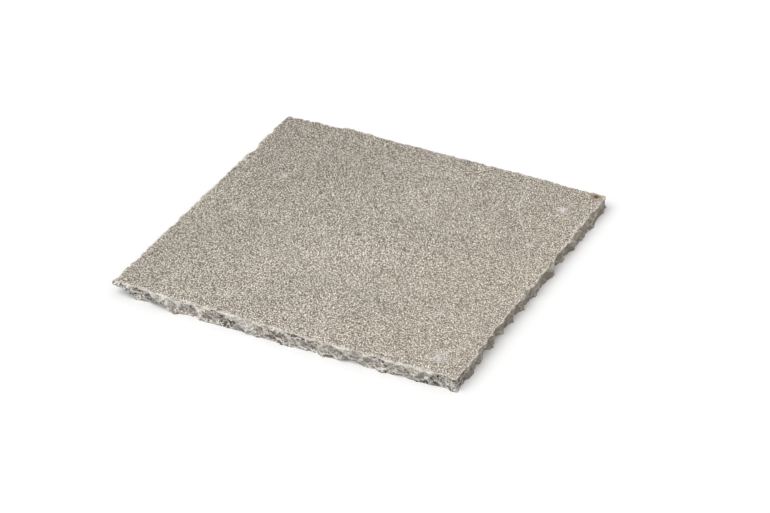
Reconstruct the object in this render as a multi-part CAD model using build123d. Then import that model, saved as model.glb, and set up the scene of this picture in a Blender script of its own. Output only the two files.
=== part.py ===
from build123d import *
import os
from math import cos, hypot, radians, sin, sqrt
from random import Random

# A square limestone paver with a riven top face and four hand-dressed edges.
# It lies on its bed face. The origin is the middle of its box on that face, +Z is up, and +X is the
# longer side. The edges are made as a mason makes them: the blank stands out a little further at the
# foot than at the arris, and each blow of the pitching tool takes a rounded flake out of the wall.
# A flake, an undercut and a spall off the arris are balls that bite into the wall, and a flute is a
# slanting cylinder, so two neighbours meet in the sharp curved ridge of real stone.
# All sizes are in millimetres.

# Overall size
length = 608.0  # along X, between the corners of the top face
width = 592.0  # along Y, between the corners of the top face
thickness = 25.0
toe = 9.0  # how far the foot of the blank stands out beyond the arris on each side

# Large flakes, which run down to the foot of the edge. A range is the least and the most.
flake_pitch = 46.0  # mean spacing along a side
flake_across = (62.0, 104.0)  # width of the hollow
flake_depth = (5.5, 10.0)
flake_height = (1.0, 11.0)  # height of the deepest point above the bed

# Undercuts, where a blow ran out below the arris and left the foot hollow
undercut_pitch = 210.0
undercut_across = (48.0, 84.0)
undercut_depth = (12.0, 18.0)
undercut_top = (9.0, 14.0)  # how high the hollow reaches up the wall

# Chips, which are small round flakes between the foot and the arris
chip_pitch = 36.0
chip_across = (20.0, 46.0)
chip_depth = (1.2, 3.2)
chip_height = (9.0, 23.0)

# Flutes, which are the hollows that a blow leaves when the break runs slanting down the wall
flute_pitch = 34.0
flute_across = (16.0, 40.0)
flute_depth = (1.2, 3.2)
flute_slant = (-48.0, 48.0)  # degrees from upright, seen from outside the wall
flute_tip = (-9.0, 9.0)  # degrees towards the stone, which lets the flute run out

# Small spalls, which bite the arris from above
spall_pitch = 18.0
spall_across = (9.0, 26.0)  # length along the arris
spall_depth = (0.7, 2.4)
spall_rise = (25.0, 65.0)  # degrees above level of the blow

# A chip off each corner, across its diagonal
corner_across = (15.0, 24.0)
corner_depth = (3.0, 6.0)

# The riven face: a sheet of the bedding has split away from the back right corner, up to a curved line.
# The points of the line are measured from that corner of the top face.
lamina_step = 0.9
lamina_line = [
    (-164, 16),
    (-132, -34),
    (-126, -70),
    (-106, -124),
    (-78, -168),
    (-55, -202),
    (-33, -258),
    (14, -340),
]

# A thin flake of the same kind is off the top face, at this place from its front right corner
dish_place = (-30.0, 64.0)
dish_across = 62.0
dish_depth = 0.8

# The pit where a nodule of iron has weathered out, at this place from the back right corner
pit_place = (-15.0, -13.0)
pit_across = 10.0
pit_depth = 1.6

# The foot of the front left corner is broken away from below
broken_corner_reach = 42.0  # how far along each side the break runs
broken_corner_rise = 18.0  # how high it reaches at the corner

seed = 7

# The sizes of each kind of blow, in the order that its function takes them
flake_sizes = (flake_height, flake_across, flake_depth)
undercut_sizes = (undercut_across, undercut_depth, undercut_top)
chip_sizes = (chip_height, chip_across, chip_depth)
flute_sizes = (flute_across, flute_depth, flute_slant, flute_tip)
spall_sizes = (spall_across, spall_depth, spall_rise)

# How far each arris bows out of the straight line between its corners: place along the side, and bow.
# A place runs towards +X on the front, +Y on the right, -X on the back and -Y on the left.
front_bow = [(-230, 5.0), (-130, 2.5), (105, 7.0), (220, 2.5)]
right_bow = [(-100, -1.5), (200, -0.5)]
back_bow = [(-142, 4.0), (115, 5.0), (172, 10.0), (210, 10.0), (224, 5.0)]
left_bow = [(-290, 3.0), (-186, 3.5), (-168, -1.0), (-148, 3.0), (60, 2.0)]


class Side:
    """One side of the slab: the turn of its outward direction from +X, its run, its distance and its bow."""

    def __init__(self, turn, run, reach, bow):
        self.turn = turn
        self.run = run
        self.reach = reach
        self.line = [(-run / 2, 0.0), *[b for b in bow if abs(b[0]) < run / 2], (run / 2, 0.0)]

    def bow_at(self, place):
        """The bow at any place, on straight lines between the places where it is given."""
        for (a, bow_a), (b, bow_b) in zip(self.line, self.line[1:]):
            if a <= place <= b:
                return bow_a + (bow_b - bow_a) * (place - a) / (b - a)
        return 0.0

    def corners(self):
        """The arris as points in plan, without its last, which begins the next side."""
        turned = Rot(0, 0, self.turn)
        return [(turned * Pos(self.reach + bow, place)).position for place, bow in self.line[:-1]]


front = Side(-90, length, width / 2, front_bow)
right = Side(0, width, length / 2, right_bow)
back = Side(90, length, width / 2, back_bow)
left = Side(180, width, length / 2, left_bow)
sides = (front, right, back, left)

# The large flakes of the front and right edges, one by one: place, height, width and depth.
# Past the last of them, as on a longer side, the flakes are drawn at random as on the other two edges.
front_flakes = [
    (-252, 9, 60, 10),
    (-162, 7, 50, 8.5),
    (-118, 13, 44, 1.2),
    (-80, 8, 48, 6.5),
    (-30, 13, 56, 1.4),
    (34, 9, 50, 8),
    (60, 8, 44, 10),
    (92, 13, 44, 7),
    (128, 16, 60, 5.5),
    (160, 7, 52, 10.5),
    (192, 8, 48, 8.5),
    (252, 9, 46, 8),
    (278, 10, 50, 10.5),
    (304, 11, 36, 8),
]
right_flakes = [
    (-276, 10, 60, 9),
    (-222, 9, 40, 9),
    (-198, 9, 30, 10),
    (-176, 12, 40, 11),
    (-140, 12, 50, 10),
    (-104, 9, 50, 11.5),
    (-66, 8, 50, 12),
    (-24, 8, 56, 9),
    (30, 9, 72, 7),
    (92, 9, 50, 10.5),
    (128, 9, 44, 8.5),
    (168, 10, 50, 4),
    (208, 10, 40, 2.5),
    (262, 9, 60, 5.5),
    (294, 9, 36, 8),
]

# The undercuts of the same two edges: side, place, width and depth at the foot, and reach up the wall
undercuts = [
    (front, -220, 64, 22, 11),
    (front, 124, 60, 19, 13),
    (front, 210, 34, 15, 9),
    (right, -142, 56, 17, 12),
    (right, -183, 34, 17, 14),
]


def ball_radius(across, depth):
    """The radius of the ball that leaves a hollow of this width and depth in a flat face."""
    return (across**2 / 4 + depth**2) / (2 * depth)


def ball(side, out, at, height, radius):
    """A ball at a place along a side, out from its arris, with its seam turned away from the stone."""
    return Rot(0, 0, side.turn) * Pos(side.reach + side.bow_at(at) + out, at, height) * Sphere(radius)


def flake(side, at, height, across, depth):
    """One flake out of the wall, its depth measured from the leaning wall of the blank."""
    lean = toe * (1 - height / thickness)
    radius = ball_radius(across, depth)
    return ball(side, lean + radius - depth, at, height, radius)


def undercut(side, at, across, depth, top):
    """A hollow with its width and depth at the foot and its upper rim at a height on the wall."""
    below = (across**2 / 4 - top**2) / (2 * top)
    foot_radius = ball_radius(across, depth)
    return ball(side, toe + foot_radius - depth, at, -below, hypot(foot_radius, below))


def flute(side, at, across, depth, slant, tip):
    """A slanting hollow across the whole wall, its depth measured half way up the wall of the blank."""
    radius = ball_radius(across, depth)
    out = toe / 2 + radius - depth
    place = Pos(side.reach + side.bow_at(at) + out, at, thickness / 2)
    return Rot(0, 0, side.turn) * place * Rot(slant, tip, 0) * Cylinder(radius, 6 * thickness)


def spall(side, at, across, depth, rise):
    """A small flake off the arris, its ball set out and up from it."""
    radius = ball_radius(across, depth)
    out = (radius - depth) * cos(radians(rise))
    up = (radius - depth) * sin(radians(rise))
    return ball(side, out, at, thickness + up, radius)


def draw(chance, span):
    """A size between the least and the most of its range."""
    return chance.uniform(span[0], span[1])


def places(side, pitch, chance):
    """Places along a side, evenly spaced and then shaken by up to a third of their spacing."""
    count = round(side.run / pitch)
    step = side.run / count
    return [-side.run / 2 + step * (k + 0.5 + chance.uniform(-0.33, 0.33)) for k in range(count)]


def scattered(kind, side, pitch, ranges, chance):
    """Blows of one kind all along a side, each size drawn between its least and its most."""
    return [kind(side, at, *[draw(chance, span) for span in ranges]) for at in places(side, pitch, chance)]


def corner_chip(x_sign, y_sign, chance):
    """A chip off one corner, its ball set out along the diagonal."""
    height = draw(chance, chip_height)
    depth = draw(chance, corner_depth)
    radius = ball_radius(draw(chance, corner_across), depth)
    out = (radius - depth) / sqrt(2) + toe * (1 - height / thickness)
    return Pos(x_sign * (length / 2 + out), y_sign * (width / 2 + out), height) * Sphere(radius)


def broken_corner():
    """The break below the front left corner, as a ball under it."""
    below = (broken_corner_reach**2 - broken_corner_rise**2) / (2 * broken_corner_rise)
    return Pos(-length / 2, -width / 2, -below) * Sphere(below + broken_corner_rise)


def beyond_listed(side, listed, chance):
    """Large flakes at random, only where the nearest listed flake of that side is more than a pitch away."""
    bare = []
    for at in places(side, flake_pitch, chance):
        if min(abs(at - told[0]) for told in listed) > flake_pitch:
            bare.append(flake(side, at, *[draw(chance, span) for span in flake_sizes]))
    return bare


def dressing(chance):
    """Every blow on the four edges, the large ones first."""
    blows = [flake(front, *sizes) for sizes in front_flakes]
    blows += [flake(right, *sizes) for sizes in right_flakes]
    blows += [undercut(*sizes) for sizes in undercuts]
    for side in (back, left):
        blows += scattered(flake, side, flake_pitch, flake_sizes, chance)
        blows += scattered(undercut, side, undercut_pitch, undercut_sizes, chance)
    for side in sides:
        blows += scattered(flake, side, chip_pitch, chip_sizes, chance)
        blows += scattered(flute, side, flute_pitch, flute_sizes, chance)
        blows += scattered(spall, side, spall_pitch, spall_sizes, chance)
    blows += [corner_chip(x_sign, y_sign, chance) for x_sign in (-1, 1) for y_sign in (-1, 1)]
    blows += beyond_listed(front, front_flakes, chance)
    blows += beyond_listed(right, right_flakes, chance)
    blows.append(broken_corner())
    return blows


def make_blank():
    """The slab before dressing, with its four walls leaning in from the foot to the arris."""
    arris = Polyline(*[point for side in sides for point in side.corners()], close=True)
    head = make_face(arris)
    foot = offset(head, toe, kind=Kind.INTERSECTION)
    return loft([foot, Pos(0, 0, thickness) * head], ruled=True)


def lost_lamina():
    """The sheet that has split away, from the lamina line outwards past the back right corner."""
    line = Spline(*lamina_line)
    clear = 2 * thickness
    hem = Polyline(line @ 1, (clear, (line @ 1).Y), (clear, clear), ((line @ 0).X, clear), line @ 0)
    sheet = make_face(Wire([line, *hem.edges()]))
    return Pos(length / 2, width / 2, thickness - lamina_step) * extrude(sheet, 2 * lamina_step)


def top_hollow(corner, place, level, across, depth):
    """A ball that leaves a shallow round hollow in the top face, at a place from one of its corners."""
    radius = ball_radius(across, depth)
    return Pos(corner.X + place[0], corner.Y + place[1], level + radius - depth) * Sphere(radius)


def make_paver():
    """The finished paver, with the middle of its box over the origin."""
    chance = Random(seed)
    front_right = Vector(length / 2, -width / 2)
    back_right = Vector(length / 2, width / 2)
    paver = make_blank()
    for blow in dressing(chance):
        paver = paver.cut(blow)
    paver = paver - lost_lamina()
    paver = paver - top_hollow(front_right, dish_place, thickness, dish_across, dish_depth)
    paver = paver - top_hollow(back_right, pit_place, thickness - lamina_step, pit_across, pit_depth)
    middle = paver.bounding_box().center()
    return Pos(-middle.X, -middle.Y, 0) * paver


paver = make_paver()
paver.label = "limestone_paver"
box = paver.bounding_box()
print(f"box {box.size.X:.1f} x {box.size.Y:.1f} x {box.size.Z:.1f} mm, {len(paver.faces())} faces")
os.makedirs("parts", exist_ok=True)
export_step(paver, "parts/limestone_paver.step")
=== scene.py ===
# %% [markdown]
# # A riven limestone paver
#
# The real paver is one slab, about 600 mm square and 25 mm thick. Its top face is riven, which means that
# the block was split along its bedding, and its four edges were dressed by hand with a pitching tool.
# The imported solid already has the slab, the large flakes and the lost sheet of bedding at their real size.
# Here its surface is modelled again at the scale of the grain and of the small chips, and gets its colour.
# A hand sculpt could do that as well, but it couldn't be measured or changed by one number.

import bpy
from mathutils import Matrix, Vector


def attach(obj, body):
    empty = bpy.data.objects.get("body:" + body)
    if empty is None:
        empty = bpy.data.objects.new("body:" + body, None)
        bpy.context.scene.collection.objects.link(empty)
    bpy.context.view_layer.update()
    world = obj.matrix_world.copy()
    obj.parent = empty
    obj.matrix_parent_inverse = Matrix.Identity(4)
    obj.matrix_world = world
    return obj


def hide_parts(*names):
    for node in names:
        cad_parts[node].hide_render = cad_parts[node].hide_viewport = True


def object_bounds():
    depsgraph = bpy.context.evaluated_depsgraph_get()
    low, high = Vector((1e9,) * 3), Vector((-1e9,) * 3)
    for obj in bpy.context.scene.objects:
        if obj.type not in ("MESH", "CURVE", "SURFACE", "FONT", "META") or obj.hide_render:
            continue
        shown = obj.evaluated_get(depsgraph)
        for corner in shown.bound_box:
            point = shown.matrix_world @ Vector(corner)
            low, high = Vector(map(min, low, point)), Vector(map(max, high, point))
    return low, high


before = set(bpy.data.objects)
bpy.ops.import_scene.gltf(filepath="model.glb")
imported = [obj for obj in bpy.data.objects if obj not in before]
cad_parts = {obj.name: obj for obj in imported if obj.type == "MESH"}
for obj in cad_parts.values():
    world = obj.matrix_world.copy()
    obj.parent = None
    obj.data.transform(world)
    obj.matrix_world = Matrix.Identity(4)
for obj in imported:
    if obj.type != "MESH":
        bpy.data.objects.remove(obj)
cad_low, cad_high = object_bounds()
print("box of the packed solid, in metres:", [round(size, 4) for size in cad_high - cad_low])

# %% [markdown]
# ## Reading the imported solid
#
# Every size here is in millimetres until a mesh is made, because that is how a mason measures the slab.
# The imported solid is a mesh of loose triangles. A bounding volume tree of it answers the one question that
# the next steps ask: where does a straight line first meet the stone?

# %% Make a tree of the solid
import math

import bpy
import numpy as np
from mathutils import Vector
from mathutils.bvhtree import BVHTree
from mathutils.geometry import delaunay_2d_cdt
from mathutils.kdtree import KDTree

MM = 0.001  # one millimetre in metres
node_name = "limestone_paver"
solid_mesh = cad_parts[node_name].data
solid_corners = [corner.co / MM for corner in solid_mesh.vertices]
solid_faces = [tuple(face.vertices) for face in solid_mesh.polygons]
solid = BVHTree.FromPolygons(solid_corners, solid_faces)
half_box = np.array(cad_high)[:2] / MM
thickness = cad_high.z / MM
print(f"{len(solid_faces)} triangles, thickness {thickness:.1f} mm")

# %% [markdown]
# ## A net over the dressed edge
#
# The edge is a band about 2.4 m long and 25 mm high, folded in and out by the flakes. A net of columns and
# rows over that band can follow any undercut, which a height map from above can't. Each column starts
# outside the slab and looks straight in. Near a corner the columns turn like the ribs of a fan, so no two
# of them cross, also where the foot of a corner is broken away.

# %% Set out the columns
column_pitch = 1.25
fan_reach = 60.0  # the columns of one corner all look at a point this far in from both sides

box_corners = np.array([(-1, -1), (1, -1), (1, 1), (-1, 1)]) * half_box
rim = []
for start, end in zip(box_corners, np.roll(box_corners, -1, axis=0)):
    count = round(np.linalg.norm(end - start) / column_pitch)
    rim += [start + (end - start) * step / count for step in range(count)]
rim = np.array(rim)
heart = np.clip(rim, fan_reach - half_box, half_box - fan_reach)
outward = (rim - heart) / np.linalg.norm(rim - heart, axis=1)[:, None]
columns = len(rim)
along = np.arange(columns) * column_pitch
print(f"{columns} columns round {along[-1] + column_pitch:.0f} mm of edge")

# %% [markdown]
# Each column is measured at many heights, from the bed up to the arris, and then cut into rows of equal
# length along its own line. Rows at equal heights would leave the roof of an undercut almost without points.

# %% Measure the columns
wall_rows = 23
cast_rows = 40
skim = 0.03  # a ray keeps this far from the top and bottom faces, so that it can't slip along them
lip_depth = 8.0  # the height of the top face beside a column is read this far behind its wall
lip_height = 19.0  # and the wall is looked for at this height


def reach_at(column, height):
    """How far out from its heart point a column meets the stone, at one height."""
    start = heart[column] + 2 * fan_reach * outward[column]
    found = solid.ray_cast(Vector((*start, height)), Vector((*-outward[column], 0)))[0]
    return fan_reach if found is None else float((np.array(found)[:2] - heart[column]) @ outward[column])


def top_at(place):
    """The height of the solid under a point in plan."""
    found = solid.ray_cast(Vector((*place, 2 * thickness)), Vector((0, 0, -1)))[0]
    return thickness if found is None else found.z


def wall_profile(column):
    """The points of one column, evenly spaced along its line: distance out, and height."""
    lip = top_at(heart[column] + (reach_at(column, lip_height) - lip_depth) * outward[column])
    heights = np.linspace(skim, lip - skim, cast_rows)
    reaches = [reach_at(column, height) for height in heights]
    length = np.concatenate([[0], np.cumsum(np.hypot(np.diff(reaches), np.diff(heights)))])
    even = np.linspace(0, length[-1], wall_rows)
    return np.interp(even, length, reaches), np.interp(even, length, heights), even - length[-1]


profiles = np.array([wall_profile(column) for column in range(columns)])
reach, height, below_arris = profiles.transpose(1, 2, 0)
height[0] = 0.0
print(f"walls reach {reach.min():.0f} to {reach.max():.0f} mm out of the heart points")

# %% [markdown]
# ## The lost sheet of bedding
#
# At one corner a sheet of stone less than 1 mm thick came away when the block was split. It ends in a low
# curved step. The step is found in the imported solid, by the small upright faces that lie just under the
# top face and well inside the slab. A net of points 2.7 mm apart can't follow such a step, and would show
# it as a zigzag, so the height near it is worked out from the distance to the line instead.

# %% Find the step
inner = half_box - 12.0  # faces further out than this belong to the dressed edge
upright = 0.1  # the normal of an upright face rises by less than this
shallow = thickness - 1.0  # and it lies above this height
lost_here = half_box - 40.0  # a place in plan where the sheet is surely lost
step_points = []
for face in solid_mesh.polygons:
    middle = np.array(face.center) / MM
    if abs(face.normal.z) < upright and middle[2] > shallow and (abs(middle[:2]) < inner).all():
        step_points += [tuple(solid_corners[corner])[:2] for corner in face.vertices]
step_points = np.array(sorted(set(step_points), key=lambda point: point[1]))
lamina_drop = thickness - top_at(lost_here)
print(f"{len(step_points)} points along the step, which is {lamina_drop:.2f} mm high")

# %% [markdown]
# The line runs from one edge to the other with no turning back, so each place along Y has one X on it.
# The distance from the line is positive over the lost sheet. It is stored on the mesh later, where the
# material uses it for the bruised line along the step.

# %% Measure from the step
carry_on = 4  # the line goes on past each end by this many times the stretch that its last points cover
stretch = 8  # points in that stretch
first, last = step_points[0], step_points[-1]
step_line = np.vstack([
    first + carry_on * (first - step_points[stretch]),
    step_points,
    last + carry_on * (last - step_points[-1 - stretch]),
])
slope_span = 4.0  # the line's slope at a point is read over this stretch of Y


def past_step(places):
    """The distance of points in plan from the step, positive where the sheet is lost."""
    x, y = step_line.T
    ahead = np.interp(places[:, 1] + slope_span / 2, y, x)
    behind = np.interp(places[:, 1] - slope_span / 2, y, x)
    return (places[:, 0] - np.interp(places[:, 1], y, x)) / np.hypot(1, (ahead - behind) / slope_span)


middle_distance, corner_distance = past_step(np.array([(0, 0), half_box]))
print(f"the step is {-middle_distance:.0f} mm from the middle and {corner_distance:.0f} mm from the corner")

# %% [markdown]
# ## The arris and the top face
#
# The arris is the sharp line where the top meets the edge, and it carries most of the small damage. Three
# rings of points follow it just inside, so that there is something to chip.

# %% Follow the arris
collar = np.array([0.8, 1.9, 3.4])  # distances of the rings from the arris
slope_width = 2.4  # the step is drawn as a slope this wide


def smooth(value):
    """A soft step from 0 to 1."""
    value = np.clip(value, 0, 1)
    return value * value * (3 - 2 * value)


def top_heights(places):
    """The height of the top face at many points, with the step of the lost sheet as a soft slope."""
    heights = np.array([top_at(place) for place in places])
    past = past_step(places)
    sloped = heights + lamina_drop * ((past > 0) - smooth(past / slope_width + 0.5))
    return np.minimum(sloped, thickness)


strip = np.empty((wall_rows + len(collar), columns, 3))
strip[:wall_rows, :, :2] = heart + reach[..., None] * outward
strip[:wall_rows, :, 2] = height
for ring, inset in enumerate(collar):
    places = heart + (reach[-1] - inset)[:, None] * outward
    strip[wall_rows + ring] = np.column_stack([places, top_heights(places)])
print("rows and columns of the net:", strip.shape[:2])

# %% [markdown]
# The rest of the top is filled with points in rows like a honeycomb, shaken a little, because rows in line
# would show in the shading of the finished stone. A triangulation joins them and leaves out what lies outside
# the innermost ring. The bed is filled in the same way, with fewer points.

# %% Fill the top and the bed
top_pitch = 3.3
bed_pitch = 10.0
row_step = math.sqrt(0.75)  # between the rows of a honeycomb, as a share of the pitch
shake = 0.16  # of the pitch
clearance = 0.72  # of the pitch, kept free beside the ring
chance = np.random.default_rng(7)


def tree_of(ring):
    """A search tree of the points of a ring, in plan."""
    tree = KDTree(len(ring))
    for index, place in enumerate(ring):
        tree.insert((*place, 0), index)
    tree.balance()
    return tree


def filling(ring, pitch):
    """The points that fill a ring, with their triangles and their distance from the nearest point of it."""
    steps = (2 * half_box / (pitch, pitch * row_step)).astype(int)
    x, y = np.meshgrid(np.arange(steps[0]), np.arange(steps[1]))
    places = np.column_stack([(x + y % 2 / 2).ravel(), (y * row_step).ravel()]) * pitch - half_box
    places += chance.uniform(-shake, shake, places.shape) * pitch
    tree = tree_of(ring)
    nearest = [tree.find((*place, 0)) for place in places]
    far = np.array([found[2] > clearance * pitch for found in nearest])
    spots = [Vector(place) for place in [*ring, *places[far]]]
    result = delaunay_2d_cdt(spots, [], [list(range(len(ring)))], 1, 1e-6)  # 1: only inside the ring
    source = np.array([ids[0] for ids in result[3]])
    triangles = source[np.array(result[2])]
    used = np.unique(triangles)
    used = used[used >= len(ring)]
    place_in_mesh = np.full(len(spots), -1)
    place_in_mesh[: len(ring)] = np.arange(len(ring))
    place_in_mesh[used] = len(ring) + np.arange(len(used))
    kept = [nearest[index] for index in np.flatnonzero(far)[used - len(ring)]]
    rows = np.array([(found[1], found[2]) for found in kept])
    return places[far][used - len(ring)], place_in_mesh[triangles], rows[:, 0].astype(int), rows[:, 1]


top_places, top_triangles, top_column, top_gap = filling(strip[-1, :, :2], top_pitch)
bed_places, bed_triangles, bed_column, bed_gap = filling(strip[0, :, :2], bed_pitch)
print(f"{len(top_triangles)} triangles on the top, {len(bed_triangles)} on the bed")

# %% [markdown]
# ## One closed skin
#
# The net of the edge, the top and the bed share their rings of points, so the skin has no gap.

# %% Join the three parts
net_size = strip.shape[0] * columns
top_points = np.column_stack([top_places, top_heights(top_places)])
bed_points = np.column_stack([bed_places, np.zeros(len(bed_places))])
points = np.vstack([strip.reshape(-1, 3), top_points, bed_points])
first_top, first_bed = net_size, net_size + len(top_points)

row, column = np.meshgrid(np.arange(strip.shape[0] - 1), np.arange(columns), indexing="ij")
beside = (column + 1) % columns
this_row, next_row = row * columns, (row + 1) * columns
quads = np.stack([this_row + column, this_row + beside, next_row + beside, next_row + column], -1)
quads = quads.reshape(-1, 4)


def in_mesh(triangles, ring_start, fill_start):
    """Triangles of a filling, renumbered for the whole skin."""
    return np.where(triangles < columns, triangles + ring_start, triangles - columns + fill_start)


top_faces = in_mesh(top_triangles, net_size - columns, first_top)
bed_faces = in_mesh(bed_triangles, 0, first_bed)[:, ::-1]
faces = [*quads.tolist(), *top_faces.tolist(), *bed_faces.tolist()]
skin = bpy.data.meshes.new("paver_skin")
skin.from_pydata((points * MM).tolist(), [], faces)
triangles = 2 * len(quads) + len(top_faces) + len(bed_faces)
print(f"{len(points)} points, {triangles} triangles, faulty {skin.validate()}")

# %% [markdown]
# Each point gets numbers that say where it is on the stone: its place along the edge, its distance from the
# arris, whether it belongs to the bed, and its distance from the step. The relief and the material read
# these numbers, which stay right when the points move.

# %% Say where each point is
net_rows = strip.shape[0]
bed_depth = -60.0  # stands for a distance from the arris that is past any wall


def spread(net_values, top_values, bed_values):
    """One number for every point of the skin, from the numbers of its three parts."""
    net = np.broadcast_to(net_values, (net_rows, columns)).ravel()
    top = np.broadcast_to(top_values, len(top_points))
    return np.concatenate([net, top, np.broadcast_to(bed_values, len(bed_points))])


net_arris = np.vstack([below_arris, np.repeat(collar[:, None], columns, axis=1)])
marks = {
    "along_mm": spread(along, along[top_column], along[bed_column]),
    "arris_mm": spread(net_arris, top_gap + collar[-1], bed_depth),
    "bed": spread(0.0, 0.0, 1.0),
    "step_mm": past_step(points[:, :2]),
}
for name, values in marks.items():
    mark = skin.attributes.new(name, "FLOAT", "POINT")
    mark.data.foreach_set("value", values.astype(np.float32))
inward = np.zeros((len(points), 3), np.float32)
inward[:net_size, :2] = np.tile(-outward, (net_rows, 1))
skin.attributes.new("inward", "FLOAT_VECTOR", "POINT").data.foreach_set("vector", inward.ravel())
print("marks on each point:", [*marks, "inward"])

# %% [markdown]
# ## A flat map of the skin
#
# So that its colours can be baked to a picture for use outside Blender, the skin needs a flat map. The top
# takes most of the sheet, the bed a corner of it, and the four walls lie as long strips along its foot.
# The map is made from the net's own rows and columns, so it has no overlaps and only a few seams.

# %% Lay out the map
margin = 0.008  # of the sheet, left free round each part
top_share = 0.73  # of the sheet's width, for the top face
bed_share = 0.235
walls_share = 0.25  # of the sheet's height, for all four strips
strip_share = walls_share / 4
side_columns = [round(length / column_pitch) for length in np.tile(2 * half_box, 2)]
side_first = np.concatenate([[0], np.cumsum(side_columns)])
longest = max(side_columns)


def lying_flat(places, left, foot, share):
    """The map of a face that is seen from above, at a place on the sheet."""
    return np.array([left, foot]) + share * (places + half_box) / (2 * half_box[0])


quad_column = column.ravel()
quad_row = row.ravel()
quad_side = np.searchsorted(side_first, quad_column, side="right") - 1
step_right = np.array([0, 1, 1, 0])
step_up = np.array([0, 0, 1, 1])
wall_u = (quad_column - side_first[quad_side])[:, None] + step_right
wall_v = quad_row[:, None] + step_up
strip_foot = quad_side[:, None] * strip_share
wall_map = np.stack([
    margin + (1 - 2 * margin) * wall_u / longest,
    margin + strip_foot + (strip_share - margin) * wall_v / (wall_rows - 1),
], -1)
top_map = lying_flat(points[:, :2], margin, walls_share + margin, top_share)
bed_map = lying_flat(points[:, :2], margin + top_share + margin, walls_share + margin, bed_share)
on_wall = (quad_row < wall_rows - 1)[:, None, None]
quad_map = np.where(on_wall, wall_map, top_map[quads])
flat_map = np.vstack([quad_map.reshape(-1, 2), top_map[top_faces.ravel()], bed_map[bed_faces.ravel()]])
skin.uv_layers.new(name="OFBake").data.foreach_set("uv", flat_map.astype(np.float32).ravel())
print("map runs from", flat_map.min(0).round(3), "to", flat_map.max(0).round(3))

# %% [markdown]
# ## One way to add a node
#
# Both the relief and the material are trees of nodes. Clicking them together by hand is quick, but a script
# can be read, changed and run again. One small function adds any node: it sets the node's properties, gives
# each input a number or a link, and hands back one output to link further. The kinds with most inputs are
# these: Mix takes a share and the two things that it mixes. MapRange takes a value, the two ends of the range
# that it comes from, and those of the range that it is turned into. TexNoise takes a place, a scale, a number
# of finer layers and their roughness.

# %% Add a node
def add(tree, kind, *inputs, out=None, **settings):
    """Add a node to a tree and give back its first output in use, or the one with a name.

    "Math.ADD" is a Math node whose operation is ADD, and "Mix.RGBA" is a Mix node for that type of data.
    Inputs are given in turn, leaving out those not in use, or as a dictionary by name.
    """
    kind, _, choice = kind.partition(".")
    node = tree.nodes.new(kind if "Node" in kind else "ShaderNode" + kind)
    if choice:
        settings["operation" if hasattr(node, "operation") else "data_type"] = choice
    for name, value in settings.items():
        setattr(node, name, value)
    if inputs and isinstance(inputs[0], dict):
        given_to = [(node.inputs[name], value) for name, value in inputs[0].items()]
    else:
        given_to = zip([socket for socket in node.inputs if socket.enabled], inputs)
    for socket, value in given_to:
        if isinstance(value, bpy.types.NodeSocket):
            tree.links.new(value, socket)
        else:
            socket.default_value = value
    return node.outputs[out] if out else next((socket for socket in node.outputs if socket.enabled), None)


# %% [markdown]
# ## How limestone breaks
#
# A blow leaves a shallow bowl, and two bowls meet in a sharp ridge. A Voronoi texture knows the distance to
# the nearest of many scattered points. One minus the square of that distance is exactly such a bowl, and the
# border between two cells is the ridge. Each bowl is also tipped its own way, so that one scar catches the
# light and the next lies in shade. The cells are warped by a noise, because straight borders look like
# crystals. The relief and the material share this function, so that colour and shape agree.

# %% A field of scars
bowl_reach = 0.75  # distance from its middle, in cells, at which a bowl has run out
tip = 0.8  # how steeply a bowl may be tipped
bend_scale, bend_reach = 1.3, (1.1, 1.1, 1.1)  # waves of the warp to a cell, and how far it moves a place
least = 0.3  # depth of the shallowest scar, as a share of the deepest, where no cell is bare
grey = (0.5, 0.5, 0.5)  # taken from a random colour, it leaves a direction


def scars(tree, place, width, depth, bare=0.0):
    """Scars of one width: depth in mm, distance from the ridge in cells, and a tone of 0 to 1 for each."""
    per_mm = add(tree, "Math.DIVIDE", 1.0, width)
    cells = add(tree, "VectorMath.SCALE", place, per_mm)
    warp = add(tree, "TexNoise", cells, bend_scale, 2.0, out="Color")
    warp = add(tree, "VectorMath.SUBTRACT", warp, grey)
    warped = add(tree, "VectorMath.MULTIPLY_ADD", warp, bend_reach, cells)
    nearest = add(tree, "TexVoronoi", warped, 1.0).node.outputs
    share = add(tree, "Math.DIVIDE", nearest["Distance"], bowl_reach)
    square = add(tree, "Math.POWER", share, 2.0)
    bowl = add(tree, "Math.SUBTRACT", 1.0, square, use_clamp=True)
    tone = add(tree, "SeparateXYZ", nearest["Color"])
    uneven = add(tree, "MapRange", tone, bare, 1.0, 0.0 if bare else least)
    deep = add(tree, "Math.MULTIPLY", bowl, uneven)
    deep = add(tree, "Math.MULTIPLY", deep, depth)
    across = add(tree, "VectorMath.SUBTRACT", warped, nearest["Position"])
    turned = add(tree, "VectorMath.SUBTRACT", nearest["Color"], grey)
    tipped = add(tree, "VectorMath.DOT_PRODUCT", across, turned)
    tipped = add(tree, "Math.MULTIPLY", tipped, uneven)
    tipped = add(tree, "Math.MULTIPLY", tipped, width)
    deep = add(tree, "Math.MULTIPLY_ADD", tipped, tip, deep)
    deep = add(tree, "Math.MAXIMUM", deep, 0.0)
    border = add(tree, "TexVoronoi", warped, 1.0, feature="DISTANCE_TO_EDGE")
    return deep, border, tone


# %% [markdown]
# The relief is one Geometry Nodes tree. Its inputs are the sizes that a mason would name, in millimetres:
# the width and depth of the flakes, chips and nibbles, the height of the riven waves and the grain.
# Every part of it only takes stone away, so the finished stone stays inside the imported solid's box.

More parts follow.
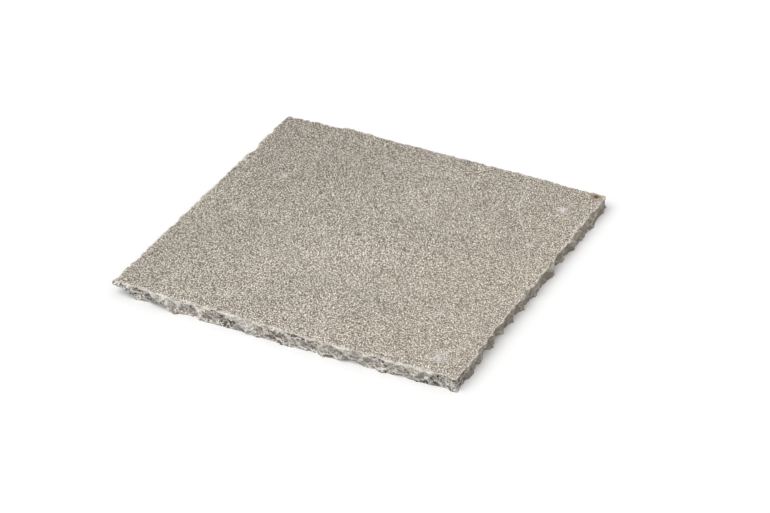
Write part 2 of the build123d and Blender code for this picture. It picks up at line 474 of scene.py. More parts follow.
# %% Start the relief tree
relief = bpy.data.node_groups.new("dressed_and_riven", "GeometryNodeTree")
relief.interface.new_socket("Geometry", in_out="INPUT", socket_type="NodeSocketGeometry")
sizes = {
    "Flake width": 21.0,
    "Flake depth": 3.6,
    "Chip width": 7.0,
    "Chip depth": 2.0,
    "Pit width": 8.0,
    "Pit depth": 3.0,
    "Nibble width": 7.0,
    "Nibble depth": 1.1,
    "Ledge height": 4.2,
    "Ledge depth": 0.8,
    "Hackle width": 6.5,
    "Hackle depth": 1.0,
    "Riven wave": 75.0,
    "Riven height": 0.9,
    "Grain width": 3.2,
    "Grain depth": 0.22,
    "Seed": 5.0,
}
sockets = {}
for name, value in sizes.items():
    socket = relief.interface.new_socket(name, in_out="INPUT", socket_type="NodeSocketFloat")
    socket.default_value = value
    sockets[name] = socket.identifier
socket = relief.interface.new_socket("Stone", in_out="INPUT", socket_type="NodeSocketMaterial")
sockets["Stone"] = socket.identifier
relief.interface.new_socket("Geometry", in_out="OUTPUT", socket_type="NodeSocketGeometry")
given = relief.nodes.new("NodeGroupInput").outputs
print("inputs of the relief:", list(sizes))

# %% [markdown]
# The net gives each point a flat place on the unrolled edge: its distance along, and its distance under the
# arris. Sheared a little, that place makes the scars lean, as a blow from above makes them do. Where two
# scars overlap only the deeper one is left, so the fields are joined by their larger value and not added up:
# a sum would blur every ridge.

# %% The broken wall
chip_bare = 0.35  # share of the edge that the chips leave as it is
wall_lean = 0.55  # how far a scar shifts along the edge for each millimetre down the wall
squat = 1.2  # scars are this much wider than high
wall_fade, wall_full = 4.0, -5.0  # the broken relief starts this far inside the arris, and is full under it


def unroll(tree, run, under, seed, lean=wall_lean):
    """A place on the unrolled edge, sheared and squeezed."""
    leaning = add(tree, "Math.MULTIPLY_ADD", under, lean, run)
    upright = add(tree, "Math.MULTIPLY", under, squat)
    return add(tree, "CombineXYZ", leaning, upright, seed)


run_mm, arris_mm, bed = (add(relief, "GeometryNodeInputNamedAttribute", name)
                         for name in ("along_mm", "arris_mm", "bed"))
place_mm = add(relief, "VectorMath.SCALE", add(relief, "GeometryNodeInputPosition"), 1 / MM)
unrolled = unroll(relief, run_mm, arris_mm, given["Seed"])
flakes = scars(relief, unrolled, given["Flake width"], given["Flake depth"])[0]
chips = scars(relief, unrolled, given["Chip width"], given["Chip depth"], chip_bare)[0]
broken = add(relief, "Math.MAXIMUM", flakes, chips)

# %% [markdown]
# Just under the arris small flakes spring out and leave a row of oval pits, mostly where the mason's chisel
# stood. They are scars of their own size, kept to a band.

# %% Pits under the arris
pit_level, pit_band = -5.5, 3.0  # the middle and half the height of the band, in mm from the arris


def band(tree, value, middle, half):
    """A share that is 1 in the middle of a band and fades out over it, like a bell."""
    share = add(tree, "Math.SUBTRACT", value, middle)
    share = add(tree, "Math.DIVIDE", share, half)
    share = add(tree, "Math.POWER", share, 2.0)
    return add(tree, "Math.POWER", math.exp(-1), share)


pits = scars(relief, unrolled, given["Pit width"], given["Pit depth"], bare=0.5)[0]
pits = add(relief, "Math.MULTIPLY", pits, band(relief, arris_mm, pit_level, pit_band))
broken = add(relief, "Math.MAXIMUM", broken, pits)

# %% [markdown]
# Limestone is laid down in thin beds, so a broken face also steps in and out in ledges that run level, and a
# crack that runs fast leaves hackles, which are ridges side by side along its path. Both are teeth like
# those of a saw, bent by a noise, with backs that are steep but not upright, because the net couldn't
# follow a cliff. Each shows only in some stretches of the edge.

# %% Ledges and hackles
bend_length = 45.0  # mm over which the teeth bend, and in which they come and go
in_stretches = 0.47, 0.58  # where a noise is below the first there are no teeth, and above the second all
hackle_slant = 0.9  # how far a hackle moves along the edge for each millimetre of height
back_slope = 2.5  # the back of a tooth is this many times as steep as its front


def teeth(across, pitch, depth, bend):
    """Teeth side by side, in mm: depth at each point, from a place across them."""
    count = add(relief, "Math.DIVIDE", across, pitch)
    long_noise = add(relief, "TexNoise", unrolled, 1 / bend_length, 2.0)
    count = add(relief, "Math.MULTIPLY_ADD", long_noise, bend, count)
    tooth = add(relief, "Math.FRACT", count)
    back = add(relief, "Math.MULTIPLY_ADD", tooth, -back_slope, back_slope)
    tooth = add(relief, "Math.MINIMUM", tooth, back)
    where = add(relief, "CombineXYZ", run_mm, pitch, given["Seed"])
    where = add(relief, "TexNoise", where, 1 / bend_length, 0.0)
    where = add(relief, "MapRange", where, *in_stretches)
    tooth = add(relief, "Math.MULTIPLY", tooth, where)
    return add(relief, "Math.MULTIPLY", tooth, depth)


height_mm = add(relief, "SeparateXYZ", place_mm, out="Z")
ledges = teeth(height_mm, given["Ledge height"], given["Ledge depth"], bend=1.5)
slanting = add(relief, "Math.MULTIPLY_ADD", height_mm, hackle_slant, run_mm)
hackles = teeth(slanting, given["Hackle width"], given["Hackle depth"], bend=2.5)

# %% [markdown]
# Ledges, hackles and grain are added to the scars, because they don't end each other. Just inside the arris
# the broken wall gives way to the riven face.

# %% Add up the wall
grain_scale = add(relief, "Math.DIVIDE", 1.0, given["Grain width"])
grain = add(relief, "TexNoise", place_mm, grain_scale, 2.0)
grain = add(relief, "Math.MULTIPLY", grain, given["Grain depth"])
wall_depth = broken
for layer in (ledges, hackles, grain):
    wall_depth = add(relief, "Math.ADD", wall_depth, layer)
wall_share = add(relief, "MapRange", arris_mm, wall_fade, wall_full, interpolation_type="SMOOTHSTEP")
wall_depth = add(relief, "Math.MULTIPLY", wall_depth, wall_share)

# %% [markdown]
# ## Nibbles along the arris
#
# An arris loses small bites whenever the slab is moved. The bites are scars again, centred near the arris,
# and they go down and in at once. They come in patches, and between them the line is clean. The front edge
# was knocked hardest, at the corner most of all.

# %% Nibble the arris
nibble_spread = 3.4  # mm either side of the arris
knocks = [  # places in plan, and how far each blow reached
    ((305, -300), 60), ((-262, -300), 28), ((-150, -300), 18), ((-40, -300), 22), ((70, -300), 30),
    ((165, -300), 20),
]
knock_extra = 1.9  # bites there are deeper by this share
patch_width, patch_ends = 38.0, (0.44, 0.6)  # the size of a patch, and the noise between bare and bitten
quiet_bite = 0.12  # depth of the bites between the patches, as a share


def knocked(tree, place):
    """A share that is 1 where the arris was knocked hard."""
    share = 0.0
    for (x, y), reach in knocks:
        away = add(tree, "VectorMath.DISTANCE", place, (x, y, thickness))
        share = add(tree, "Math.MAXIMUM", share, band(tree, away, 0.0, reach))
    return share


patches = add(relief, "TexNoise", place_mm, 1 / patch_width, 2.0)
patches = add(relief, "MapRange", patches, *patch_ends, quiet_bite)
stronger = add(relief, "Math.MULTIPLY_ADD", knocked(relief, place_mm), knock_extra, patches)
upright_place = unroll(relief, run_mm, arris_mm, given["Seed"], lean=0.0)
bites = scars(relief, upright_place, given["Nibble width"], given["Nibble depth"])[0]
spread_here = add(relief, "Math.MULTIPLY_ADD", stronger, nibble_spread, nibble_spread / 2)
bites = add(relief, "Math.MULTIPLY", bites, band(relief, arris_mm, 0.0, spread_here))
bites = add(relief, "Math.MULTIPLY", bites, stronger)

# %% [markdown]
# ## The riven face
#
# A split face is flat over most of its area, with low swells and dips. The noise is cut off, so that the
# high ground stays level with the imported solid's top and only the dips go down. A finer grain pits it all.

# %% Rive the top and the bed
dip_ends = 0.38, 0.8  # values of the noise at which a dip sets in and is full
narrower, narrow_share = 5.0, 0.35  # the narrow waves, against the broad ones
riven_fade = 6.0  # the riven relief ends this far under the arris


def waves(width, share):
    """Dips of one width, cut off at the level of the high ground, in mm."""
    scale = add(relief, "Math.DIVIDE", 1.0, width)
    noise = add(relief, "TexNoise", place_mm, scale, 3.0)
    deep = add(relief, "Math.MULTIPLY", given["Riven height"], share)
    return add(relief, "MapRange", noise, *dip_ends, 0.0, deep)


broad = waves(given["Riven wave"], 1.0)
narrow_width = add(relief, "Math.DIVIDE", given["Riven wave"], narrower)
narrow = waves(narrow_width, narrow_share)
riven = add(relief, "Math.ADD", broad, narrow)
riven = add(relief, "Math.ADD", riven, grain)
top_share_here = add(relief, "MapRange", arris_mm, -riven_fade, 0.0, interpolation_type="SMOOTHSTEP")
riven_down = add(relief, "Math.MULTIPLY", riven, top_share_here)
bed_up = add(relief, "Math.MULTIPLY", riven, bed)

# %% [markdown]
# Last, the parts are added up as one move of each point, which never goes below the plane of the bed, and
# the tree ends as the export wants it: no instances, and one material.

# %% Move the points
bite_side = 0.75  # a bite goes in by this much for each millimetre that it goes down
sideways = add(relief, "Math.MULTIPLY_ADD", bites, bite_side, wall_depth)
fall = add(relief, "Math.ADD", bites, riven_down)
rise = add(relief, "Math.SUBTRACT", bed_up, fall)
inward_here = add(relief, "GeometryNodeInputNamedAttribute", "inward", data_type="FLOAT_VECTOR")
sideways_move = add(relief, "VectorMath.SCALE", inward_here, sideways)
moved = add(relief, "VectorMath.ADD", place_mm, sideways_move)
moved = add(relief, "VectorMath.ADD", moved, add(relief, "CombineXYZ", {"Z": rise}))
moved = add(relief, "VectorMath.MAXIMUM", moved, (-1e6, -1e6, 0.0))  # only the height is held
moved = add(relief, "VectorMath.SCALE", moved, MM)
shaped = add(relief, "GeometryNodeSetPosition", {"Geometry": given["Geometry"], "Position": moved})
shaped = add(relief, "GeometryNodeSetShadeSmooth", shaped)
shaped = add(relief, "GeometryNodeRealizeInstances", shaped)
shaped = add(relief, "GeometryNodeSetMaterial", {"Geometry": shaped, "Material": given["Stone"]})
add(relief, "NodeGroupOutput", shaped)
print(f"the relief tree has {len(relief.nodes)} nodes")

# %% [markdown]
# ## The stone's material
#
# This is a fine-grained grey-brown limestone. Split along its bedding it is matt and evenly speckled: pale
# grains of calcite in a darker mud. Where it was struck it is darker and smoother between the ridges, and the
# ridges themselves are bruised white, because crushed calcite scatters light. All colours are written as
# the sRGB values that a colour picker shows, and one function turns them into the linear ones.

# %% Colours
def linear(code):
    """An sRGB hex colour as the linear red, green, blue and alpha that a shader takes."""
    parts = [int(code[start:start + 2], 16) / 255 for start in (1, 3, 5)]
    return (*[part / 12.92 if part <= 0.04045 else ((part + 0.055) / 1.055) ** 2.4 for part in parts], 1.0)


mud, dull, fair, calcite = linear("#5B5244"), linear("#958B7E"), linear("#B7ADA0"), linear("#FFF8EC")
bruise_white, stunned_lilac = linear("#F0EBE2"), linear("#EAE3E2")
wall_dark, wall_mid, wall_pale = linear("#4A433C"), linear("#7E766D"), linear("#B0A89E")
# a paler, warmer grey: painted bounce light on the side and back walls
painted_bounce_flank = linear("#CCBFAC")
iron_dark, iron_halo, rust = linear("#5A4830"), linear("#BFA88C"), linear("#74503F")
print("mean grey of the riven face, linear:", round(sum(dull[:3]) / 3, 3))

# %% [markdown]
# The material works in millimetres, on object coordinates, and reads the marks of the points. A noise is
# weaker in the planes of its own lattice, so its coordinates are turned out of the plane of the top face.

# %% Start the material
limestone = bpy.data.materials.new("riven_grey_brown_limestone")
limestone.use_nodes = True
stone = limestone.node_tree
stone.nodes.clear()
coordinates = add(stone, "TexCoord", out="Object")
in_mm = add(stone, "VectorMath.SCALE", coordinates, 1 / MM)
turned_mm = add(stone, "VectorRotate", {"Vector": in_mm, "Rotation": (0.7, 0.4, 0.2)},
                rotation_type="EULER_XYZ")
x_here, y_here = add(stone, "SeparateXYZ", in_mm).node.outputs[:2]
run_here, arris_here, bed_here, step_here, wear_here = (
    add(stone, "Attribute", out="Fac", attribute_name=name)
    for name in ("along_mm", "arris_mm", "bed", "step_mm", "wear")
)


def with_stops(colours, stops):
    """Give a colour ramp its stops, as pairs of place and colour."""
    bar = colours.node.color_ramp
    while len(bar.elements) < len(stops):
        bar.elements.new(1.0)
    for element, (place, colour) in zip(bar.elements, stops):
        element.position = place
        element.color = colour
    return colours


# %% [markdown]
# Twelve noises break up the edges and colours. Each has a width in millimetres, which is about the size of
# one of its patches, a number of finer layers, and a roughness, which says how strong those layers are.

# %% Noises from a table
noise = {
    "specks": (1.8, 0.6, 0.5), "grains": (0.6, 1.0, 0.5), "clumps": (8.0, 2.0, 0.5),
    "drift": (160.0, 1.0, 0.5), "frays": (4.0, 3.0, 0.5), "breaks": (9.0, 2.0, 0.5),
    "wall": (3.0, 3.0, 0.7), "struck": (13.0, 3.0, 0.6), "gaps": (5.0, 2.0, 0.5),
    "band": (5.0, 3.0, 0.7), "patches": (6.0, 3.0, 0.7), "meeting": (6.0, 2.0, 0.5),
}
for name, (width, layers, roughness) in noise.items():
    noise[name] = add(stone, "TexNoise", turned_mm, 1 / width, layers, roughness)

# %% [markdown]
# ## The riven face's speckle
#
# The real grains are well under a millimetre, and cling together in specks of 1 to 2 mm. One pixel of the
# photograph covers more than a millimetre and a half, so the specks are drawn at their coarsest, with finer
# grains in them. A wider noise makes them thicker on the ground here and there. Their contrast is a third
# lower on the right.

# %% Speckle
clump_share, grain_share = 0.08, 0.3  # against the specks
speckle = add(stone, "Math.MULTIPLY_ADD", noise["clumps"], clump_share, noise["specks"])
speckle = add(stone, "Math.MULTIPLY_ADD", noise["grains"], grain_share, speckle)
speckle = add(stone, "Math.SUBTRACT", speckle, (1 + clump_share + grain_share) / 2)  # now 0 on average
quiet = add(stone, "MapRange", x_here, 20.0, 200.0, 1.0, 0.7)
speckle = add(stone, "Math.MULTIPLY_ADD", speckle, quiet, 0.5)
riven_colour = with_stops(add(stone, "ValToRGB", speckle),
                          [(0.38, mud), (0.475, dull), (0.54, fair), (0.62, calcite)])

# %% [markdown]
# The colour also drifts over the slab by a few percent at random. It is also darker to the back and to the
# left, which is a painted falloff of the light.

# %% Drift and painted falloff
drift = add(stone, "MapRange", noise["drift"], 0.3, 0.7, 0.94, 1.05)
# painted shade: a falloff of the light, darker to the back and to the left
painted_falloff_back = add(stone, "MapRange", y_here, -50.0, 300.0, 1.0, 0.86)
painted_falloff_left = add(stone, "MapRange", x_here, -300.0, 300.0, 0.9, 1.08)
for share in (painted_falloff_back, painted_falloff_left):
    drift = add(stone, "Math.MULTIPLY", drift, share)
riven_colour = add(stone, "VectorMath.SCALE", riven_colour, drift)

# %% [markdown]
# ## Spots at known places
#
# The slab has bruises where something hard touched it, a brown pit of iron by the back corner, and rust on
# the front wall. Each is a soft ellipse at its real place, frayed by a noise.

# %% A soft spot
full_share = 0.2  # a spot is full within this share of its radii


def spot(centre, radii, fray=0.5):
    """A share of 0 to 1 inside an ellipsoid at a place, in mm, with a frayed rim."""
    away = add(stone, "VectorMath.SUBTRACT", in_mm, centre)
    away = add(stone, "VectorMath.DIVIDE", away, radii)
    away = add(stone, "VectorMath.LENGTH", away)
    ragged = add(stone, "Math.MULTIPLY_ADD", noise["frays"], fray, away)
    return add(stone, "MapRange", ragged, 1.0 + fray / 2, fray / 2 + full_share)


through = 12.0  # a spot reaches this far down, so that waves in the face don't cut it off
bruises = [  # places in plan, and radii
    ((-235, -17), 10), ((255, 222), 14), ((205, -147), 9), ((255, -255), 18), ((-120, -250), 12),
    ((250, 97), 8), ((-212, 112), 9), ((-67, 222), 10), ((22, 27), 7), ((47, 30), 7),
]
bruised = 0.0
for (x, y), radius in bruises:
    found = spot((x, y, thickness), (radius, radius, through))
    bruised = add(stone, "Math.MAXIMUM", bruised, found)
bruise_specks = add(stone, "MapRange", noise["specks"], 0.38, 0.6, 0.25, 0.85)
bruised = add(stone, "Math.MULTIPLY", bruised, bruise_specks)
riven_colour = add(stone, "Mix.RGBA", bruised, riven_colour, stunned_lilac)
print(len(bruises), "bruises on the top face")

# %% [markdown]
# ## The step's bruised line
#
# Along the edge of the lost sheet the stone is crushed to a thin pale line, broken here and there. Past it
# the fresh face is a little paler.

# %% Draw the step
break_reach = 5.0  # mm by which a noise pushes the line off, so that it breaks
step_off_bed = 400.0  # mm, so that the step isn't drawn on the bed as well
on_bed = add(stone, "Math.MULTIPLY", bed_here, -step_off_bed)
step_mm = add(stone, "Math.ADD", step_here, on_bed)
near_step = add(stone, "Math.ABSOLUTE", step_mm)
near_step = add(stone, "Math.MULTIPLY_ADD", noise["breaks"], break_reach, near_step)
line = add(stone, "MapRange", near_step, 4.2, 2.0, 0.0, 0.6)
past = add(stone, "MapRange", step_mm, 0.0, 6.0, 1.0, 1.06)
riven_colour = add(stone, "VectorMath.SCALE", riven_colour, past)
riven_colour = add(stone, "Mix.RGBA", line, riven_colour, bruise_white)

# %% [markdown]
# Near the front corner a thinner sheet has begun to lift, and its edge shows as a fine crooked line. It is
# drawn as the distance from a few straight pieces, bent by a noise.

# %% Draw the fine line
lifting = [(284, -206), (262, -234), (246, -262), (250, -284)]
line_half = 1.3  # half the width of the line
line_off_bed = 100.0  # mm, so that it isn't drawn on the bed
crook_scale, crook_reach = 0.12, (12.0, 12.0, 0.0)  # crooks to a mm, and how far they move the line
plan = add(stone, "VectorMath.MULTIPLY", in_mm, (1.0, 1.0, 0.0))
crooks = add(stone, "TexNoise", in_mm, crook_scale, 2.0, out="Color")
crooks = add(stone, "VectorMath.SUBTRACT", crooks, grey)
plan = add(stone, "VectorMath.MULTIPLY_ADD", crooks, crook_reach, plan)
near_line = 1000.0  # further off than any point of the slab
for start, end in zip(lifting, lifting[1:]):
    span = Vector((end[0] - start[0], end[1] - start[1], 0))
    from_start = add(stone, "VectorMath.SUBTRACT", plan, (*start, 0))
    share = add(stone, "VectorMath.DOT_PRODUCT", from_start, span / span.length_squared)
    share = add(stone, "Math.MULTIPLY", share, 1.0, use_clamp=True)
    foot = add(stone, "VectorMath.SCALE", span, share)
    away = add(stone, "VectorMath.DISTANCE", from_start, foot)
    near_line = add(stone, "Math.MINIMUM", near_line, away)
near_line = add(stone, "Math.MULTIPLY_ADD", bed_here, line_off_bed, near_line)
fine_line = add(stone, "MapRange", near_line, line_half, 0.3, 0.0, 0.55)
riven_colour = add(stone, "Mix.RGBA", fine_line, riven_colour, bruise_white)

# %% [markdown]
# By the back corner a grain of iron ore has rusted out and left a small pit, dark brown with a paler halo.

# %% Iron by the corner
pit = (289.5, 286.0, thickness)
halo = add(stone, "Math.MULTIPLY", spot(pit, (19.0, 16.0, through)), 0.5)
core = spot(pit, (10.0, 8.5, through))
riven_colour = add(stone, "Mix.RGBA", halo, riven_colour, iron_halo)
riven_colour = add(stone, "Mix.RGBA", core, riven_colour, iron_dark)

# %% [markdown]
# ## The dressed edge
#
# The same scars are worked out again from the marks on the mesh, now at any fineness. Each scar gets a grey
# of its own, and the crushed ridge round it is white. Larger ridges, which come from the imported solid, are
# found by measuring the finished mesh further down, and are white as well.

# %% The scars again
unrolled_here = unroll(stone, run_here, arris_here, sizes["Seed"])
flake_here, flake_border, flake_tone = scars(stone, unrolled_here, sizes["Flake width"], sizes["Flake depth"])
chip_here, chip_border, chip_tone = scars(
    stone, unrolled_here, sizes["Chip width"], sizes["Chip depth"], chip_bare)
scar_here = add(stone, "Math.MAXIMUM", flake_here, chip_here)
chipped = add(stone, "Math.GREATER_THAN", chip_here, flake_here)

# %% [markdown]
# Hackles too fine for the mesh show as streaks, which lean more than the scars do. They are mixed with
# specks that are coarser than those of the riven face.

# %% Streaks and specks
streak_width, streak_stretch, streak_lean = 2.2, 0.2, 0.9
streak_place = unroll(stone, run_here, arris_here, sizes["Seed"], streak_lean)
streak_place = add(stone, "VectorMath.MULTIPLY", streak_place, (1.0, streak_stretch, 1.0))
streaks = add(stone, "TexNoise", streak_place, 1 / streak_width, 2.0, 0.6)
wall_grain = add(stone, "Mix.FLOAT", 0.5, noise["wall"], streaks)

# %% [markdown]
# Each scar's tone picks its grey. The front wall has the strongest greys, while the others are calmer and a
# little paler and warmer, which is painted bounce light. All of them darken towards the foot, which is painted
# shade, and only the front wall is rusty.

# %% Grey of the scars
front_here = add(stone, "MapRange", y_here, -260.0, -292.0)
tone_here = add(stone, "Mix.FLOAT", chipped, flake_tone, chip_tone)
tone_here = add(stone, "Math.SUBTRACT", tone_here, 0.5)
contrast = add(stone, "Math.MULTIPLY_ADD", front_here, 0.6, 0.4)
wall_tone = add(stone, "Math.MULTIPLY_ADD", tone_here, contrast, wall_grain)
wall_colour = with_stops(add(stone, "ValToRGB", wall_tone),
                         [(0.32, wall_dark), (0.52, wall_mid), (0.7, wall_pale)])
# The side and back walls take a share of a paler, warmer grey: a calmer texture, and painted bounce light.
calm_and_painted_bounce = add(stone, "Math.MULTIPLY_ADD", front_here, -0.55, 0.55)
wall_colour = add(stone, "Mix.RGBA", calm_and_painted_bounce, wall_colour, painted_bounce_flank)
# Painted shade: the walls darken towards the foot.
painted_foot_shade = add(stone, "MapRange", arris_here, -10.0, -25.0, 1.0, 0.72)
wall_colour = add(stone, "VectorMath.SCALE", wall_colour, painted_foot_shade)
rusty = [((-27, -300, 18), (8, 30, 6)), ((-9, -300, 7), (19, 30, 5))]
for centre, radii in rusty:
    share = add(stone, "Math.MULTIPLY", spot(centre, radii, 0.8), 0.85)
    wall_colour = add(stone, "Mix.RGBA", share, wall_colour, rust)

# %% [markdown]
# Crushed stone is white on the ridges. Two noises break the lines up, because a ridge is only white where it
# was hit.

# %% Bruise the ridges
flake_line, chip_line = 1.5, 1.0  # half the width of a crushed ridge, in mm
flake_lines, chip_lines = (
    add(stone, "MapRange", border, half_width / width, 0.3 * half_width / width)
    for border, half_width, width in ((flake_border, flake_line, sizes["Flake width"]),
                                      (chip_border, chip_line, sizes["Chip width"]))
)
chip_lines = add(stone, "Math.MULTIPLY", chip_lines, chipped)
ridge = add(stone, "Math.MAXIMUM", flake_lines, chip_lines)
worn = add(stone, "MapRange", wear_here, 0.35, 1.1)
ridge = add(stone, "Math.MAXIMUM", ridge, worn)
struck = add(stone, "MapRange", noise["struck"], 0.40, 0.53)
knocked_here = add(stone, "Math.ADD", knocked(stone, in_mm), front_here)
struck = add(stone, "Math.MULTIPLY_ADD", knocked_here, 0.4, struck)
crushed = add(stone, "Math.MULTIPLY", ridge, struck, use_clamp=True)
gaps = add(stone, "MapRange", noise["gaps"], 0.4, 0.5, 0.25)
crushed = add(stone, "Math.MULTIPLY", crushed, gaps)

# %% [markdown]
# Fine crushed cracks also cross the scars like veins. They run where a noise is close to its middle value,
# and they are few on the side and back walls.

# %% Veins
vein_width = 9.0  # mm from one to the next
veins = add(stone, "TexNoise", unrolled_here, 1 / vein_width, 3.0, 0.55)
veins = add(stone, "Math.SUBTRACT", veins, 0.5)
veins = add(stone, "Math.ABSOLUTE", veins)
vein_share = add(stone, "MapRange", front_here, 0.0, 1.0, 0.3)
veins = add(stone, "MapRange", veins, 0.035, 0.012, 0.0, vein_share)
crushed = add(stone, "Math.MAXIMUM", crushed, veins)
whiteness = add(stone, "MapRange", front_here, 0.0, 1.0, 0.7)
crushed = add(stone, "Math.MULTIPLY", crushed, whiteness)
wall_colour = add(stone, "Mix.RGBA", crushed, wall_colour, bruise_white)

# %% [markdown]
# The crushing is worst along the arris, where a ragged band of white runs a few millimetres over both faces.
# Behind it the riven face itself is stunned by the blows. There the specks run together in white patches,
# most of them within a centimetre of the edge.

# %% Stun the rim
arris_band = 3.5  # mm of white on either side of the arris
stunned_reach = 14.0
stunned_front = 5.0  # mm more of it along the front
ragged_reach, patch_reach = 16.0, 26.0  # mm that the noises move the band's rim and the patches
rim_off_bed = 200.0  # mm, so that the bed isn't stunned
at_arris = add(stone, "Math.ABSOLUTE", arris_here)
ragged = add(stone, "Math.SUBTRACT", noise["band"], 0.5)
at_arris = add(stone, "Math.MULTIPLY_ADD", ragged, ragged_reach, at_arris)
at_arris = add(stone, "MapRange", at_arris, arris_band, 0.2, 0.0, 0.72)
inside = add(stone, "Math.MULTIPLY_ADD", bed_here, rim_off_bed, arris_here)
stunned = add(stone, "Math.MULTIPLY_ADD", noise["patches"], patch_reach, inside)
stunned = add(stone, "Math.MULTIPLY_ADD", front_here, -stunned_front, stunned)
stunned = add(stone, "MapRange", stunned, stunned_reach, 5.0, 0.0, 0.85)
riven_colour = add(stone, "Mix.RGBA", stunned, riven_colour, bruise_white)

# %% [markdown]
# The two finishes meet in a ragged line just inside the arris. A broken face is smoother than a riven one,
# because the crack runs through the grains there and not round them.

# %% Join the faces
meeting_reach = 4.0
ragged_arris = add(stone, "Math.MULTIPLY_ADD", noise["meeting"], meeting_reach, arris_here)
on_top = add(stone, "MapRange", ragged_arris, 1.0, 2.6)
on_top = add(stone, "Math.MAXIMUM", on_top, bed_here)
colour = add(stone, "Mix.RGBA", on_top, wall_colour, riven_colour)
colour = add(stone, "Mix.RGBA", at_arris, colour, bruise_white)
rough = add(stone, "MapRange", on_top, 0.0, 1.0, 0.75, 0.9)

# %% [markdown]
# The finest relief is too small for the mesh, so it is drawn as a bump: the specks and grains of the riven
# face, and the scars and streaks of the walls.

# %% Bump and finish
top_height = add(stone, "Math.MULTIPLY_ADD", noise["grains"], 0.5, noise["specks"])
top_height = add(stone, "Math.MULTIPLY", top_height, 0.6)
wall_height = add(stone, "Math.MULTIPLY", wall_grain, 0.3)
wall_height = add(stone, "Math.SUBTRACT", wall_height, scar_here)
height = add(stone, "Mix.FLOAT", on_top, wall_height, top_height)
bump = add(stone, "Bump", {"Height": height, "Strength": 0.6, "Distance": MM})
shader = add(stone, "BsdfPrincipled", {"Base Color": colour, "Roughness": rough, "Normal": bump, "IOR": 1.5,
                                       "Specular IOR Level": 0.3})
add(stone, "OutputMaterial", shader)
print(f"{limestone.name} has {len(stone.nodes)} nodes")

# %% [markdown]
# ## Making the stone
#
# The modifier's inputs are set by their identifiers, the tree is evaluated once, and the result is kept as
# a plain mesh. A plain mesh is what the frame, the export and any other program can use.

# %% Apply the relief
raw = bpy.data.objects.new("paver_raw", skin)
bpy.context.scene.collection.objects.link(raw)
modifier = raw.modifiers.new("relief", "NODES")
modifier.node_group = relief
for name, value in sizes.items():
    modifier[sockets[name]] = value
modifier[sockets["Stone"]] = limestone
depsgraph = bpy.context.evaluated_depsgraph_get()
finished = bpy.data.meshes.new_from_object(raw.evaluated_get(depsgraph), preserve_all_data_layers=True,
                                           depsgraph=depsgraph)
bpy.data.objects.remove(raw)
paver = bpy.data.objects.new("paver_stone", finished)
bpy.context.scene.collection.objects.link(paver)
print(f"{len(finished.polygons)} faces, maps {[layer.name for layer in finished.uv_layers]}")

# %% [markdown]
# ## Where the ridges are
#
# For each point of the net, the mean of its neighbours a few steps away is compared with its own place,
# along the surface's normal. A ridge stands out of that mean and a hollow lies under it. Two spans are
# used, one for the fine ridges and one for the large ones.

# %% Measure the wear
spans = [(1, 1, 0.25), (3, 3, 1.0)]  # rows, columns, and the height in mm that counts as a full ridge
where = np.empty(3 * len(finished.vertices), np.float32)
finished.vertices.foreach_get("co", where)
net = where.reshape(-1, 3)[:net_size].reshape(net_rows, columns, 3) / MM
faces_out = np.empty(3 * len(finished.vertices), np.float32)
finished.vertex_normals.foreach_get("vector", faces_out)
net_normals = faces_out.reshape(-1, 3)[:net_size].reshape(net_rows, columns, 3)
ridge_height = np.zeros((net_rows, columns))
for rows_away, columns_away, full in spans:
    padded = np.pad(net, ((rows_away, rows_away), (0, 0), (0, 0)), mode="reflect", reflect_type="odd")
    above, below = padded[2 * rows_away:], padded[: -2 * rows_away]
    beside = np.roll(net, columns_away, 1) + np.roll(net, -columns_away, 1)
    lift = ((net - (above + below + beside) / 4) * net_normals).sum(-1)
    ridge_height += lift / full / len(spans)
wear_mark = finished.attributes.new("wear", "FLOAT", "POINT")
wear_mark.data.foreach_set("value", spread(ridge_height, 0.0, 0.0).astype(np.float32))
print("wear from", ridge_height.min().round(2), "to", ridge_height.max().round(2))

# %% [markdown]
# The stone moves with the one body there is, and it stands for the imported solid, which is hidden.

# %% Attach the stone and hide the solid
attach(paver, "root")
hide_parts(node_name)

# %% [markdown]
# ## A plain floor
#
# The floor is white to the camera and to what mirrors or passes light, and mid grey to the soft light that
# it sends up, because a white sheet would light the walls from below. From below it is clear, and what
# touches it gets light through it, so that the bed face can be looked at as well.

# %% Lay the floor
floor_half = 12.0  # in metres
touch = 1.5  # in mm: the bed face is nearer to the floor than this, and the walls are not
glow_strength = 0.06  # light of its own, which lifts it to the photograph's white
corners = [(x * floor_half, y * floor_half, 0) for x, y in ((-1, -1), (1, -1), (1, 1), (-1, 1))]
floor_mesh = bpy.data.meshes.new("floor")
floor_mesh.from_pydata(corners, [], [(0, 1, 2, 3)])
floor = bpy.data.objects.new("floor", floor_mesh)
bpy.context.scene.collection.objects.link(floor)
paint = bpy.data.materials.new("matt_white_floor")
paint.use_nodes = True
ground = paint.node_tree
ground.nodes.clear()


def shown_to(tree):
    """1 for a ray that comes from the camera, a mirror or glass, and 0 for soft light."""
    paths = add(tree, "LightPath").node.outputs
    shown = add(tree, "Math.MAXIMUM", paths["Is Camera Ray"], paths["Is Glossy Ray"])
    return add(tree, "Math.MAXIMUM", shown, paths["Is Transmission Ray"])


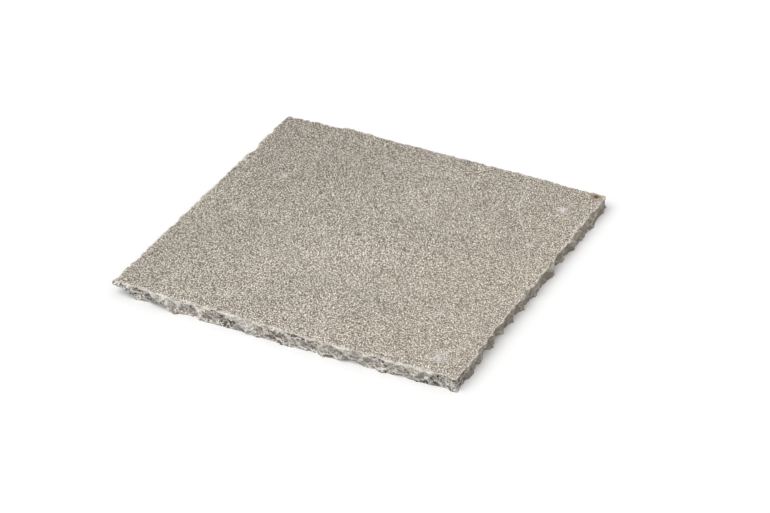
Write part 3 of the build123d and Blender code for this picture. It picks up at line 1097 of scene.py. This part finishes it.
seen = shown_to(ground)
tone = add(ground, "Mix.RGBA", seen, linear("#A8A8A8"), linear("#FCFCFC"))
matt = add(ground, "BsdfDiffuse", tone)
lift_strength = add(ground, "Math.MULTIPLY", seen, glow_strength)
glow = add(ground, "Emission", (1, 1, 1, 1), lift_strength)
lit = add(ground, "AddShader", matt, glow)
clear = add(ground, "BsdfTransparent")
behind = add(ground, "NewGeometry", out="Backfacing")
ray_length = add(ground, "LightPath", out="Ray Length")
touching = add(ground, "Math.LESS_THAN", ray_length, touch * MM)
behind = add(ground, "Math.MAXIMUM", behind, touching)
add(ground, "OutputMaterial", add(ground, "MixShader", behind, lit, clear))
floor_mesh.materials.append(paint)

# %% [markdown]
# ## Studio light
#
# A product studio hangs a large soft lamp over the front of the table, and its white walls fill the shadows.
# A sun lamp with a very wide disc is that lamp without its falloff, so the whole floor stays evenly white.
# Together they light a level face at a strength of 1, at which a colour renders as it is written.

# %% Light the scene
fill_share = 0.55  # of the light on a level face, from the room
lamp_from = Vector((-0.35, -0.6, 1.0)).normalized()
world = bpy.data.worlds.new("studio")
bpy.context.scene.world = world
world.use_nodes = True
sky = world.node_tree
sky.nodes.clear()
sky_strength = add(sky, "MapRange", shown_to(sky), 0.0, 1.0, fill_share, 1.0)
backdrop = add(sky, "Background", (1, 1, 1, 1), sky_strength)
add(sky, "OutputWorld", backdrop)

softbox = bpy.data.lights.new("softbox", "SUN")
softbox.angle = math.radians(55)
softbox.energy = (1 - fill_share) * math.pi / lamp_from.z
softbox_object = bpy.data.objects.new("softbox", softbox)
softbox_object.rotation_euler = lamp_from.to_track_quat("Z", "Y").to_euler()
bpy.context.scene.collection.objects.link(softbox_object)
bpy.context.scene.view_settings.view_transform = "Standard"
print(f"lamp strength {softbox.energy:.2f}, room {fill_share}")

# %% [markdown]
# ## The photograph's camera
#
# The camera stands where the photograph was taken from. Its place and lens were worked out from the
# corners of the slab, whose sides are known.

# %% Stand the camera
camera = bpy.data.cameras.new("camera")
camera.lens = 116.4
camera.sensor_width = 36.0
camera_object = bpy.data.objects.new("camera", camera)
camera_object.location = (1.5674, -3.0669, 2.2181)
camera_object.rotation_euler = (math.radians(57.05), 0, math.radians(26.55))
bpy.context.scene.collection.objects.link(camera_object)
bpy.context.scene.camera = camera_object
